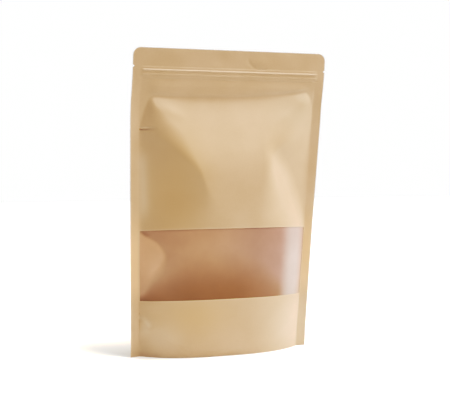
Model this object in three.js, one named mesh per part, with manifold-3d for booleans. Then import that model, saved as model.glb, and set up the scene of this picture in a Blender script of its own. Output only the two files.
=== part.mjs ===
// A stand-up pouch of brown kraft paper, zipped shut and puffed up with air.
// A flat header with two tear notches and a press-to-close zip tops the body; a
// frosted film window runs from side seal to side seal, and a folded gusset
// opens the base so that the pouch stands.
//
// Millimetres. +Z is up, the window faces -Y. The origin is on the floor, under
// the middle of the pouch.

import * as THREE from 'three';
import { mergeVertices } from 'three/addons/utils/BufferGeometryUtils.js';
import Module from 'manifold-3d';

// ---- The flat sheet ---------------------------------------------------------

const HEIGHT = 300;
const HALF_FLAT = 100.5; // half the width of the sheet laid flat
const HALF_BASE = 94.5; // half the width at the floor, once the pouch is puffed up
const NARROW_FROM = 18; // heights between which the outline narrows
const NARROW_TO = 235;
const CORNER_RADIUS = 7.5; // the two top corners
const SEAL_WIDTH = 9.2; // each side seal
const SEAL_THICKNESS = 0.8;
const NOTCH_HEIGHT = 282.4; // tear notches in both edges
const NOTCH_DEPTH = 1.6;
const NOTCH_HALF = 1.3;

// ---- How the seals stand under the header -----------------------------------

const SEAL_Y = -0.2; // the seals at the floor, from the middle of the box
const LEAN = 2.2; // how far back the seals lie at LEAN_TOP
const SWAY = -0.9; // and how far they lie to the side
const LEAN_TOP = 240;
const HEADER_FROM = 282;

// ---- The puffed body --------------------------------------------------------

const BASE_DEPTH = 18.2; // the middle of the front over its seals, at the floor
const PEAK_DEPTH = 25.6;
const PEAK_HEIGHT = 112;
const PEAK_FALL = 0.0007; // how fast the depth falls off above the peak

const BULGE_TOP = 260.6; // where the top facet would leave the header at the seals
const BULGE_TILT = 0.0406; // the same line climbs to the right
const BULGE_SAG = 7.8; // and sinks in the middle
const BULGE_SOFTNESS = 1.6;
const TOP_SLOPE = 0.35;
const FOLD_SOFTNESS = 3.8; // across the level fold between the top and centre facets

const LEFT_SLOPES = [[120, 0.42], [160, 0.38], [180, 0.395], [205, 0.428]]; // height, slope
const RIDGE_SOFTNESS = [
  [125, 12], [142, 7], [153, 3.5], [165, 1.2], [178, 1], [190, 1.8], [205, 4.2], [220, 6.5],
  [235, 3.5], [252, 0.5],
];
const DRAWN_IN = [[222, 0], [236, 3.8], [249, 7.8], [255, 12.2]]; // the left flank's start, off its seal

const RIGHT_SLOPES = [[145, 0.2], [180, 0.24], [220, 0.35]]; // the facet that rises from the right seal
const RIGHT_APEX = { x: 38, z: 196, depth: 19.85 }; // where the steep right facet starts
const RIGHT_STEEP = 0.615;
const RIGHT_DROP = 0.152;
const VALLEY_SOFTNESS = 2.2;
const RIGHT_SOFTNESS = [[125, 6], [155, 4.2], [190, 2.2], [225, 8], [250, 3.6]];

const LOWER_POWER = 3; // flat middle, steep sides
const LOWER_INSET = 1; // how far the base's curve stops short of the seals
const LOWER_TO = 60;
const BLEND_HEIGHTS = [80, 165]; // between the lower curve and the facets
const LIFT = 0.19; // how much the sheet rises for each millimetre of depth
const LIFT_FULL = 80; // the height from which it rises so

const BACK_BULGE_TOP = 256.6; // level on the back
const BACK_RATIO = 0.88; // the back is a little flatter than the front
const BACK_FLANK = 0.42;
const BACK_SOFTNESS = 5;

// ---- Zip, window, gusset ----------------------------------------------------

const ZIP_RIBS = [{ z: 279.3, half: 1.5, rise: 0.9 }, { z: 275, half: 1.4, rise: 0.6 }];
const ZIP_END = 90.6;

const WINDOW_LOW = 55.5; // on the flat sheet
const WINDOW_HIGH = 125.5;
const WINDOW_HALF = 89.2;
const FILM_SINK = 0.2; // the film lies behind the paper's face
const FILM_THICKNESS = 0.6;
const GAP = 0.3;

const WALL = 1.6; // the front and back round the gusset's recess
const RECESS_HALF = 76;
const GUSSET_APEX = 46; // the gusset's fold, at the middle
const GUSSET_APEX_RISE = 3; // and how much more at the sides
const GUSSET_SEAL_LOW = 4; // height of the gusset's seal at the middle
const GUSSET_SEAL_RISE = 37;
const GUSSET_SEAL_REACH = 86;
const GUSSET_SEAL_POWER = 2.6;
const GUSSET_THICKNESS = 0.6;
const GUSSET_START = 2; // clear of the floor

// ---- Small functions --------------------------------------------------------

const lerp = THREE.MathUtils.lerp;
const smoothstep = THREE.MathUtils.smoothstep;
const clamp = THREE.MathUtils.clamp;

// A smooth line through points of [height, value], level at and past both ends.
function along(points, height) {
  const last = points.length - 1;
  const at = clamp(height, points[0][0], points[last][0]);
  const tangent = (k) => (k === 0 || k === last
    ? 0
    : (points[k + 1][1] - points[k - 1][1]) / (points[k + 1][0] - points[k - 1][0]));
  let k = 0;
  while (k < last - 1 && at > points[k + 1][0]) k += 1;
  const [[z0, v0], [z1, v1]] = [points[k], points[k + 1]];
  const span = z1 - z0;
  const t = (at - z0) / span;
  return v0 * (1 + 2 * t) * (1 - t) ** 2 + tangent(k) * span * t * (1 - t) ** 2
    + v1 * t * t * (3 - 2 * t) + tangent(k + 1) * span * t * t * (t - 1);
}

// The lower of two values, with the corner between them rounded over softness.
function softMin(a, b, softness) {
  const near = Math.max(softness - Math.abs(a - b), 0) / softness;
  return Math.min(a, b) - near * near * softness / 4;
}

function softMax(a, b, softness) {
  return -softMin(-a, -b, softness);
}

// ---- The pouch's form -------------------------------------------------------

// Half the width at a height, without notches or round corners.
function halfWidth(z) {
  return lerp(HALF_BASE, HALF_FLAT, clamp((z - NARROW_FROM) / (NARROW_TO - NARROW_FROM), 0, 1));
}

// The part of the half width that the round corners and the notches leave.
function edgeShare(z) {
  const notch = NOTCH_DEPTH * Math.max(0, 1 - Math.abs(z - NOTCH_HEIGHT) / NOTCH_HALF);
  const over = Math.max(0, z - (HEIGHT - CORNER_RADIUS));
  const corner = CORNER_RADIUS - Math.sqrt(Math.max(0, CORNER_RADIUS ** 2 - over ** 2));
  return 1 - (notch + corner) / HALF_FLAT;
}

// How far the seals have come out from under the header: 0 at the floor and in
// the header, 1 where they stand out the most.
function leanShare(z) {
  const rising = Math.sin(Math.PI / 2 * Math.min(z / LEAN_TOP, 1));
  return rising * (1 - smoothstep(z, LEAN_TOP, HEADER_FROM));
}

// Where the plane of the side seals stands, front to back.
function sealPlane(z) {
  return SEAL_Y + LEAN * leanShare(z);
}

// Half the width between the side seals.
function innerHalf(z) {
  return halfWidth(z) * (1 - SEAL_WIDTH / HALF_FLAT);
}

// Depth of the middle of a panel over its seals, before the folds of the top.
function centreDepth(z) {
  if (z > PEAK_HEIGHT) return PEAK_DEPTH - PEAK_FALL * (z - PEAK_HEIGHT) ** 2;
  return lerp(PEAK_DEPTH, BASE_DEPTH, (1 - z / PEAK_HEIGHT) ** 2);
}

// The lower part of a panel is one curve from seal to seal.
function lowerDepth(x, z) {
  const reach = innerHalf(z) - LOWER_INSET * (1 - clamp(z / LOWER_TO, 0, 1));
  return centreDepth(z) * (1 - (Math.abs(x) / reach) ** LOWER_POWER);
}

// Height of the line along which the top facet leaves the header.
function bulgeEdge(x) {
  return BULGE_TOP + BULGE_TILT * x - BULGE_SAG * (1 - (x / HALF_FLAT) ** 2);
}

// The top facet and the centre facet, with the level fold between them.
function middleDepth(z, bulgeTop) {
  const top = softMax(TOP_SLOPE * (bulgeTop - z), 0, BULGE_SOFTNESS);
  return softMin(top, centreDepth(z), FOLD_SOFTNESS);
}

// Depth of the front over the seal plane, at a place across and a height.
function frontDepth(x, z) {
  const inner = innerHalf(z);
  if (Math.abs(x) >= inner) return 0;
  const left = along(LEFT_SLOPES, z) * (x + inner - along(DRAWN_IN, z));
  const steep = RIGHT_APEX.depth - RIGHT_STEEP * (x - RIGHT_APEX.x) - RIGHT_DROP * (z - RIGHT_APEX.z);
  const right = softMax(steep, along(RIGHT_SLOPES, z) * (inner - x), VALLEY_SOFTNESS);
  let facets = middleDepth(z, bulgeEdge(x));
  facets = softMin(facets, left, along(RIDGE_SOFTNESS, z));
  facets = softMin(facets, right, along(RIGHT_SOFTNESS, z));
  return Math.max(0, lerp(lowerDepth(x, z), facets, smoothstep(z, ...BLEND_HEIGHTS)));
}

// Depth of the back over the seal plane: the same form with plain, even folds.
function backDepth(x, z) {
  const inner = innerHalf(z);
  if (Math.abs(x) >= inner) return 0;
  const flank = BACK_FLANK * (inner - Math.abs(x));
  const facets = softMin(middleDepth(z, BACK_BULGE_TOP), flank, BACK_SOFTNESS);
  const depth = lerp(lowerDepth(x, z), facets, smoothstep(z, ...BLEND_HEIGHTS));
  return Math.max(0, BACK_RATIO * depth);
}

// The zip's two ribs, which press through the paper between the seals.
function zipRelief(across, z) {
  if (Math.abs(across) >= ZIP_END) return 0;
  let rise = 0;
  for (const rib of ZIP_RIBS) rise += rib.rise * Math.max(0, 1 - ((z - rib.z) / rib.half) ** 2);
  return rise;
}

// A point of the puffed sheet, from its place on the flat sheet. side is -1 at
// the front and 1 at the back; out moves it off the paper's face.
function sheetPoint(across, up, side, out) {
  const share = across / HALF_FLAT;
  const depthAt = side < 0 ? frontDepth : backDepth;
  const rise = LIFT * smoothstep(up, 0, LIFT_FULL) * depthAt(share * halfWidth(up), up);
  const z = up + rise;
  const x = share * halfWidth(z) * edgeShare(z);
  const depth = depthAt(x, z);
  const face = SEAL_THICKNESS / 2 + depth + zipRelief(across, z) + out(depth);
  return new THREE.Vector3(x + SWAY * leanShare(z), sealPlane(z) + side * face, z);
}

// ---- Solids from two grids --------------------------------------------------

// A closed body between two grids of points with the same columns and rows. The
// first grid faces -Y where its columns run along +X and its rows along +Z. Each
// half is split along the folds that fall from its top corner to the middle.
function bodyBetween(columns, rows, nearPoint, farPoint) {
  const positions = [];
  const index = [];
  const stride = columns.length;
  const count = stride * rows.length;
  for (const point of [nearPoint, farPoint]) {
    for (const row of rows) {
      for (const column of columns) positions.push(...point(column, row).toArray());
    }
  }
  const quad = (a, b, c, d) => index.push(a, b, c, a, c, d);
  for (let j = 0; j + 1 < rows.length; j += 1) {
    for (let i = 0; i + 1 < stride; i += 1) {
      const a = j * stride + i;
      const b = a + 1;
      const c = a + stride + 1;
      const d = a + stride;
      if (2 * i < stride - 1) {
        quad(b, c, d, a);
        quad(count + d, count + c, count + b, count + a);
      } else {
        quad(a, b, c, d);
        quad(count + a, count + d, count + c, count + b);
      }
    }
    const left = j * stride;
    const right = left + stride - 1;
    quad(left, left + stride, count + left + stride, count + left);
    quad(right, count + right, count + right + stride, right + stride);
  }
  for (let i = 0; i + 1 < stride; i += 1) {
    const top = count - stride + i;
    quad(i, count + i, count + i + 1, i + 1);
    quad(top, top + 1, count + top + 1, count + top);
  }
  const geometry = new THREE.BufferGeometry();
  geometry.setAttribute('position', new THREE.Float32BufferAttribute(positions, 3));
  geometry.setIndex(index);
  return geometry;
}

// Even steps from one value to another.
function steps(from, to, count) {
  return Array.from({ length: count + 1 }, (_, k) => lerp(from, to, k / count));
}

// ---- Cutting ----------------------------------------------------------------

const manifold = await Module();
manifold.setup();

function toSolid(geometry) {
  const merged = mergeVertices(geometry);
  return new manifold.Manifold(new manifold.Mesh({
    numProp: 3,
    vertProperties: new Float32Array(merged.attributes.position.array),
    triVerts: new Uint32Array(merged.index.array),
  }));
}

function toGeometry(solid) {
  const { vertProperties, triVerts } = solid.getMesh();
  const geometry = new THREE.BufferGeometry();
  geometry.setAttribute('position', new THREE.Float32BufferAttribute(vertProperties, 3));
  geometry.setIndex(Array.from(triVerts));
  return geometry;
}

// ---- The pieces -------------------------------------------------------------

// The whole pouch as one closed body: both panels, seals, header and zip ribs.
function envelope() {
  const inner = HALF_FLAT - SEAL_WIDTH;
  const columns = [-HALF_FLAT, ...steps(-inner, inner, 32), HALF_FLAT];
  const ribs = ZIP_RIBS.flatMap(({ z, half }) => [z - half, z, z + half]);
  const notch = [NOTCH_HEIGHT - NOTCH_HALF, NOTCH_HEIGHT, NOTCH_HEIGHT + NOTCH_HALF];
  const corner = [0, 30, 55, 75, 90].map(
    (angle) => HEIGHT - CORNER_RADIUS * (1 - Math.sin(THREE.MathUtils.degToRad(angle))),
  );
  const rows = [
    ...steps(0, WINDOW_LOW, 7),
    ...steps(WINDOW_LOW, WINDOW_HIGH, 7).slice(1),
    ...steps(WINDOW_HIGH, BACK_BULGE_TOP, 15).slice(1),
    262, 268, ...ribs, ...notch, ...corner,
  ].sort((a, b) => a - b);
  const flush = () => 0;
  return bodyBetween(
    columns,
    rows,
    (across, up) => sheetPoint(across, up, -1, flush),
    (across, up) => sheetPoint(across, up, 1, flush),
  );
}

// The film grows thin beside the seals, where front and back meet.
const filmThickness = (depth) => Math.min(FILM_THICKNESS, 0.25 + 0.25 * depth);

// The window's film, or with grow the recess that it lies in.
function windowBody(grow) {
  const half = WINDOW_HALF - (grow ? 0 : GAP);
  const low = WINDOW_LOW + (grow ? 0 : GAP);
  const high = WINDOW_HIGH - (grow ? 0 : GAP);
  const outer = () => (grow ? 3 : -FILM_SINK);
  const inner = (depth) => -FILM_SINK - filmThickness(depth) - (grow ? GAP : 0);
  return bodyBetween(
    steps(-half, half, 32),
    steps(low, high, 7),
    (across, up) => sheetPoint(across, up, -1, outer),
    (across, up) => sheetPoint(across, up, -1, inner),
  );
}

// Height of the round-bottomed seal between the gusset and a panel.
function gussetSeal(x) {
  return GUSSET_SEAL_LOW + GUSSET_SEAL_RISE * (Math.abs(x) / GUSSET_SEAL_REACH) ** GUSSET_SEAL_POWER;
}

// A point on one wall of the gusset's tent. share runs from the mouth, 0, to the
// fold, 1, and inset moves the wall towards the middle of the pouch.
function tentPoint(x, share, side, mouth, inset) {
  const seal = gussetSeal(x);
  const depth = (side < 0 ? frontDepth(x, 0) : backDepth(x, 0)) - WALL - inset;
  const fold = GUSSET_APEX + GUSSET_APEX_RISE * (x / RECESS_HALF) ** 2;
  const slope = (fold - seal) / (depth + inset);
  const top = fold - inset * slope;
  const z = share < 0.25 ? lerp(mouth, seal, share / 0.25) : lerp(seal, top, (share - 0.25) / 0.75);
  const closing = clamp((z - seal) / (top - seal), 0, 1);
  return new THREE.Vector3(x, sealPlane(z) + side * Math.max(depth * (1 - closing), 0.05), z);
}

// The hollow under the gusset, cut up into the base.
function recess() {
  return bodyBetween(
    steps(-RECESS_HALF, RECESS_HALF, 24),
    [0, 0.25, 0.5, 0.75, 1],
    (x, share) => tentPoint(x, share, -1, -1, 0),
    (x, share) => tentPoint(x, share, 1, -1, 0),
  );
}

// The gusset's paper, which lines the hollow: up the front wall, over the fold
// and down the back wall.
function gusset() {
  const place = (inset) => (x, turn) => {
    const side = turn < 0 ? -1 : 1;
    return tentPoint(x, 1 - Math.abs(turn), side, GUSSET_START, inset);
  };
  const half = RECESS_HALF - GAP;
  return bodyBetween(
    steps(-half, half, 24),
    [-1, -0.75, -0.5, -0.25, 0.0001, 0.25, 0.5, 0.75, 1],
    place(GAP),
    place(GAP + GUSSET_THICKNESS),
  );
}

// ---- The scene graph --------------------------------------------------------

const kraft = new THREE.MeshStandardMaterial({ color: 0xd3b288, roughness: 0.75, metalness: 0 });
const film = new THREE.MeshStandardMaterial({ color: 0xbf9570, roughness: 0.45, metalness: 0 });

function named(name, geometry, material) {
  geometry.computeVertexNormals();
  const mesh = new THREE.Mesh(geometry, material);
  mesh.name = name;
  return mesh;
}

const pouch = toSolid(envelope())
  .subtract(toSolid(windowBody(true)))
  .subtract(toSolid(recess()));

const bag = new THREE.Group();
bag.add(
  named('kraft_pouch', toGeometry(pouch), kraft),
  named('window_film', windowBody(false), film),
  named('bottom_gusset', gusset(), kraft),
);

export default bag;
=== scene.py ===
"""A stand-up pouch of brown kraft paper with a frosted window, in a plain pale studio.

Everything is in metres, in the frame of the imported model: +Z is up, the window faces -Y, and the
origin is on the floor under the middle of the pouch. Paper and film start as flat sheets, which the
form of the puffed pouch then bends into place.
"""

import logging
import math
from collections.abc import Mapping, Sequence
from dataclasses import dataclass, field
from enum import Enum
from typing import Protocol

import bpy
import numpy as np
from mathutils import Matrix, Vector


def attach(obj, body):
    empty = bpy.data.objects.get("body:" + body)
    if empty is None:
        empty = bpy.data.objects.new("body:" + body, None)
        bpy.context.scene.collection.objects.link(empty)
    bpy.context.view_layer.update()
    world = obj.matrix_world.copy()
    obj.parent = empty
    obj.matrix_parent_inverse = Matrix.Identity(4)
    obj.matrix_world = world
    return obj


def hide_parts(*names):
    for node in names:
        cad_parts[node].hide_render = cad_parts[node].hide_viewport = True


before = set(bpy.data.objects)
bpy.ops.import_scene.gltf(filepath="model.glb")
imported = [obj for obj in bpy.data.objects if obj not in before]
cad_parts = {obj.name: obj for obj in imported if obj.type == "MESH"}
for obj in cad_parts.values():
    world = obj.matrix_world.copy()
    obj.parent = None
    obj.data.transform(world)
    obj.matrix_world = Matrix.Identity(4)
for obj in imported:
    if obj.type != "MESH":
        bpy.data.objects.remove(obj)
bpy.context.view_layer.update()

BODY = "root"
SHEET = "sheet"  # attribute: the place on the flat sheet, in metres
WEAR_AND_HIGHLIGHT = "wear_and_highlight"  # attribute: how much paler the paper is, from wear at its outer edges and from painted highlights, 0 to 1
PAINTED_GLOW = "painted_glow"  # attribute: how strongly the side seals show a painted glow, 0 to 1
PAINTED_SHADE = "painted_shade"  # attribute: how much painted shade browns the paper, 0 to 1
PAINTED_INTERIOR_SHADE = "painted_interior_shade"  # attribute: how strong the painted shade behind the film is, 0 to 1
ROSE = "rose"  # attribute: how rosy the film looks, 0 to 1
PAINTED_LIGHT = "painted_light"  # attribute: how much painted light lightens the film beside the seals, 0 to 1
PAINTED_HIGHLIGHT = "painted_highlight"  # attribute: how strong the painted highlight on the film is, 0 to 1

LAYER = 0.5  # metres between the sheets in their patterns, so that no two look alike
CLOUD_RANGE = (0.3, 0.7)  # where nearly all values of a cloudy pattern lie
ALL_COLOURS = 3  # of the picture's four curves, the one for red, green and blue together
SHARP_ANGLE = 40.0  # degrees by which an edge has to turn to stay sharp

Values = np.ndarray | float  # one number for each vertex, or one for all of them
SheetPlace = tuple[float, float]  # across and up, on the flat sheet
Line = tuple[tuple[float, float], ...]  # places along a line, each with its value
Colour = tuple[float, float, float, float]
Clouds = tuple[float, float]  # clouds in a metre, and the number of finer layers
Ramp = tuple[float, float, float, float]  # from and to, and the results there
Socket = bpy.types.NodeSocket
Input = Socket | float | tuple[float, ...]  # another node's socket, or a value

log = logging.getLogger("pouch")


# ---- Small functions ------------------------------------------------------------------------


def smooth_step(value: Values, low: float, high: float) -> Values:
    """Rises smoothly from 0 at low to 1 at high.

    Args:
        value: Where to read the curve.
        low: Where it leaves 0.
        high: Where it reaches 1.

    Returns:
        The curve at each value.
    """
    share = np.clip((value - low) / (high - low), 0.0, 1.0)
    return share * share * (3.0 - 2.0 * share)


def soft_min(first: Values, second: Values, softness: Values) -> Values:
    """The lower of two values, with the corner between them rounded.

    Args:
        first: One value.
        second: The other.
        softness: The difference within which the corner is rounded.

    Returns:
        The lower value, a little less near the corner.
    """
    near = np.maximum(softness - np.abs(first - second), 0.0) / softness
    return np.minimum(first, second) - near * near * softness / 4.0


def soft_max(first: Values, second: Values, softness: Values) -> Values:
    """The higher of two values, with the corner between them rounded.

    Args:
        first: One value.
        second: The other.
        softness: The difference within which the corner is rounded.

    Returns:
        The higher value, a little more near the corner.
    """
    return -soft_min(-first, -second, softness)


def along(line: Line, where: Values) -> Values:
    """A smooth line through points, level at and past both ends.

    Args:
        line: Pairs of place and value, from low to high.
        where: The places at which to read the line.

    Returns:
        The line's value at each place.
    """
    places = np.array([point[0] for point in line])
    values = np.array([point[1] for point in line])
    tangents = np.zeros(len(line))
    tangents[1:-1] = (values[2:] - values[:-2]) / (places[2:] - places[:-2])
    at = np.clip(where, places[0], places[-1])
    k = np.clip(np.searchsorted(places, at, side="right") - 1, 0, len(line) - 2)
    span = places[k + 1] - places[k]
    t = (at - places[k]) / span
    rise = values[k] * (1 + 2 * t) * (1 - t) ** 2 + values[k + 1] * t * t * (3 - 2 * t)
    return rise + span * t * (1 - t) * (tangents[k] * (1 - t) - tangents[k + 1] * t)


def between(start: Values, end: Values, share: Values) -> Values:
    """Goes from one value to another, as the share goes from 0 to 1."""
    return start + (end - start) * share


def spaced(start: float, end: float, step: float) -> list[float]:
    """Even steps of about a given size, without the last point.

    Args:
        start: The first point.
        end: The end, which is left for the next stretch.
        step: The size that a step has at most.

    Returns:
        The points from start up to, and without, end.
    """
    count = math.ceil((end - start) / step)
    return [start + (end - start) * k / count for k in range(count)]


class Side(Enum):
    """The two faces of the pouch, with the direction along Y in which each one faces."""

    FRONT = -1
    BACK = 1


# ---- The form of the puffed pouch -----------------------------------------------------------


class Relief(Protocol):
    """Anything that lifts or sinks the paper a little."""

    def height(self, across: Values, up: Values) -> Values:
        """How far it lifts the paper, at places across and up the flat sheet."""


def total_height(reliefs: Sequence[Relief], across: Values, up: Values) -> Values:
    """How far several reliefs lift the paper together."""
    return sum((relief.height(across, up) for relief in reliefs), np.zeros_like(up))


@dataclass(frozen=True)
class Crease:
    """A narrow fold line, pressed out of the paper or into it.

    It runs through points on the flat sheet, and fades out at both ends. A power of 2 rounds
    the line, and a power of 1 gives it a sharp bottom.
    """

    points: tuple[SheetPlace, ...]
    half_width: float
    rise: float
    fade: float = 0.25  # share of the length over which each end fades
    power: float = 2.0

    def height(self, across: Values, up: Values) -> Values:
        """How far the crease lifts the paper.

        Args:
            across: Places across the flat sheet.
            up: Heights on the flat sheet.

        Returns:
            The lift at each place, below 0 where the crease is sunk.
        """
        place = np.stack([across, up], axis=-1)
        corners = np.array(self.points)
        lengths = np.linalg.norm(np.diff(corners, axis=0), axis=1)
        nearest = np.full(across.shape, np.inf)
        run = np.zeros(across.shape)
        for k, length in enumerate(lengths):
            direction = (corners[k + 1] - corners[k]) / length
            offset = place - corners[k]
            reach = np.clip(offset @ direction, 0.0, length)
            distance = np.linalg.norm(offset - reach[..., None] * direction, axis=-1)
            closer = distance < nearest
            nearest = np.where(closer, distance, nearest)
            run = np.where(closer, (lengths[:k].sum() + reach) / lengths.sum(), run)
        ends = smooth_step(run, 0.0, self.fade) * smooth_step(1.0 - run, 0.0, self.fade)
        return self.rise * ends * np.exp(-((nearest / self.half_width) ** self.power))


@dataclass(frozen=True)
class Dimple:
    """A shallow round or oval dent in the paper, or a rise in it."""

    centre: SheetPlace
    half_across: float
    half_up: float
    rise: float

    def height(self, across: Values, up: Values) -> Values:
        """How far the dimple lifts the paper.

        Args:
            across: Places across the flat sheet.
            up: Heights on the flat sheet.

        Returns:
            The lift at each place, below 0 where the dimple is sunk.
        """
        distance = ((across - self.centre[0]) / self.half_across) ** 2
        distance = distance + ((up - self.centre[1]) / self.half_up) ** 2
        return self.rise * np.exp(-distance)


@dataclass(frozen=True)
class PouchForm:
    """The form of the pouch, puffed up with air, with the sizes of its construction."""

    height: float = 0.300
    half_flat: float = 0.1005
    half_base: float = 0.0945
    narrow_from: float = 0.018  # between these heights the base widens to the full width
    narrow_to: float = 0.235
    corner_radius: float = 0.0075
    seal_width: float = 0.0092
    notch_height: float = 0.2824
    notch_depth: float = 0.0016
    notch_half: float = 0.0013

    seal_y: float = -0.0002
    lean: float = 0.0022  # how far back the seals stand at lean_top
    sway: float = -0.0009  # how far the pouch shifts across as it leans
    lean_top: float = 0.240
    header_from: float = 0.282

    base_depth: float = 0.0182
    peak_depth: float = 0.0256
    peak_height: float = 0.112
    peak_fall: float = 0.7
    bulge_top: float = 0.2606  # height of the bulge's upper edge, on the front and on the back
    back_bulge_top: float = 0.2566
    bulge_tilt: float = 0.0406
    bulge_sag: float = 0.0078
    bulge_corner: tuple[float, float, float] = (0.0830, 1.20, 0.003)  # from x, slope and softness
    bulge_softness: float = 0.0016  # of the upper edge in the middle, and at the corners
    corner_softness: float = 0.0004
    corner_from: float = 0.045
    corner_to: float = 0.080
    top_slope: float = 0.35
    fold_softness: float = 0.0038

    # The facet at the left, with the ridge along it. All of these are read by height.
    left_slopes: Line = ((0.120, 0.42), (0.160, 0.38), (0.180, 0.395), (0.205, 0.428))
    ridge_softness: Line = (
        (0.125, 0.012), (0.142, 0.007), (0.153, 0.0035), (0.165, 0.0012), (0.178, 0.0010),
        (0.190, 0.0018), (0.205, 0.0042), (0.220, 0.0065), (0.235, 0.0035), (0.252, 0.0005),
    )
    drawn_in: Line = ((0.222, 0.0), (0.236, 0.0038), (0.249, 0.0078), (0.255, 0.0122))

    # The two facets at the right, which meet in the valley beside the wedge.
    right_slopes: Line = ((0.145, 0.20), (0.180, 0.24), (0.220, 0.35))
    right_apex: tuple[float, float, float] = (0.038, 0.196, 0.01985)  # x, z and depth
    right_steep: float = 0.615
    right_drop: float = 0.152
    valley_softness: float = 0.0030
    right_softness: Line = (
        (0.125, 0.0150), (0.155, 0.0095), (0.190, 0.0034), (0.225, 0.008), (0.250, 0.0036),
    )

    lower_power: float = 3.0  # a higher power makes the lower part flatter, with steeper sides
    lower_inset: float = 0.001
    lower_to: float = 0.060
    blend_from: float = 0.080  # between these heights the facets take over from the lower curve
    blend_to: float = 0.165
    lift: float = 0.19  # how far the puffed paper is drawn up, for each metre of its depth
    lift_full: float = 0.080

    back_ratio: float = 0.88  # depth of the back for that of the front
    back_flank: float = 0.42
    back_softness: float = 0.005

    window_low: float = 0.0555
    window_high: float = 0.1244
    window_half: float = 0.0905

    gusset_apex: float = 0.046
    gusset_apex_rise: float = 0.003
    gusset_half: float = 0.076
    gusset_seal_low: float = 0.004
    gusset_seal_rise: float = 0.037
    gusset_seal_reach: float = 0.086
    gusset_seal_power: float = 2.6

    paper: float = 0.00025  # thickness of one sheet
    seam: float = 0.00002  # between the two sheets where they are sealed
    left_fillet: Line = (  # how softly the panels rise from the seals, by height
        (0.090, 0.0018), (0.150, 0.0048), (0.205, 0.0034), (0.222, 0.0006), (0.250, 0.0002),
    )
    right_fillet: Line = ((0.080, 0.0006), (0.150, 0.0012), (0.210, 0.0010), (0.240, 0.0002))
    fillet_run: float = 0.060  # past this, on either side of the middle, one fillet acts alone
    left_curl: float = 0.20  # slope by which the left seal turns out towards the front
    right_curls: Line = ((0.120, 0.0), (0.190, 0.10))  # the right seal's slope, by height

    def half_width(self, z: Values) -> Values:
        """Half the width at a height, without notches or round corners."""
        share = np.clip((z - self.narrow_from) / (self.narrow_to - self.narrow_from), 0.0, 1.0)
        return between(self.half_base, self.half_flat, share)

    def inner_half(self, z: Values) -> Values:
        """Half the width between the side seals at a height."""
        return self.half_width(z) * (1.0 - self.seal_width / self.half_flat)

    def trim(self, z: Values) -> Values:
        """What the notches and the round corners take off each edge.

        Args:
            z: Heights.

        Returns:
            The width that each edge loses at each height.
        """
        beside_notch = np.abs(z - self.notch_height) / self.notch_half
        notch = self.notch_depth * np.maximum(0.0, 1.0 - beside_notch)
        over = np.maximum(0.0, z - (self.height - self.corner_radius))
        round_part = np.sqrt(np.maximum(0.0, self.corner_radius**2 - over**2))
        return notch + self.corner_radius - round_part

    def lean_share(self, z: Values) -> Values:
        """How much the seals lean back at a height, from 0 at the base and the header to 1."""
        rising = np.sin(math.pi / 2.0 * np.minimum(z / self.lean_top, 1.0))
        return rising * (1.0 - smooth_step(z, self.lean_top, self.header_from))

    def seal_plane(self, z: Values) -> Values:
        """Where the plane of the side seals stands, front to back."""
        return self.seal_y + self.lean * self.lean_share(z)

    def centre_depth(self, z: Values) -> Values:
        """Depth of the middle of a panel over its seals, before the folds of the top.

        Args:
            z: Heights.

        Returns:
            The depth at each height.
        """
        share = (1.0 - np.minimum(z / self.peak_height, 1.0)) ** 2
        lower = between(self.peak_depth, self.base_depth, share)
        upper = self.peak_depth - self.peak_fall * (z - self.peak_height) ** 2
        return np.where(z > self.peak_height, upper, lower)

    def lower_depth(self, x: Values, z: Values) -> Values:
        """The one curve from seal to seal that the lower part of a panel has.

        Args:
            x: Places across, from the middle of the pouch.
            z: Heights.

        Returns:
            The depth at each place.
        """
        inset = self.lower_inset * (1.0 - np.clip(z / self.lower_to, 0.0, 1.0))
        share = np.abs(x) / (self.inner_half(z) - inset)
        return self.centre_depth(z) * (1.0 - share**self.lower_power)

    def bulge_edge(self, x: Values) -> Values:
        """The bulge's upper edge on the front, which tilts and sags, with its right corner cut.

        Args:
            x: Places across, from the middle of the pouch.

        Returns:
            The edge's height at each place.
        """
        start, slope, softness = self.bulge_corner
        sag = self.bulge_sag * (1.0 - (x / self.half_flat) ** 2)
        line = self.bulge_top + self.bulge_tilt * x - sag
        return line - slope * soft_max(x - start, 0.0, softness)

    def middle_depth(self, x: Values, z: Values, bulge_top: Values) -> Values:
        """The top facet and the centre facet, with the level fold between them.

        Args:
            x: Places across, from the middle of the pouch.
            z: Heights.
            bulge_top: Height of the bulge's upper edge, in all or at each place.

        Returns:
            The depth at each place.
        """
        corner = smooth_step(np.abs(x), self.corner_from, self.corner_to)
        softness = between(self.bulge_softness, self.corner_softness, corner)
        top = soft_max(self.top_slope * (bulge_top - z), 0.0, softness)
        return soft_min(top, self.centre_depth(z), self.fold_softness)

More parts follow.
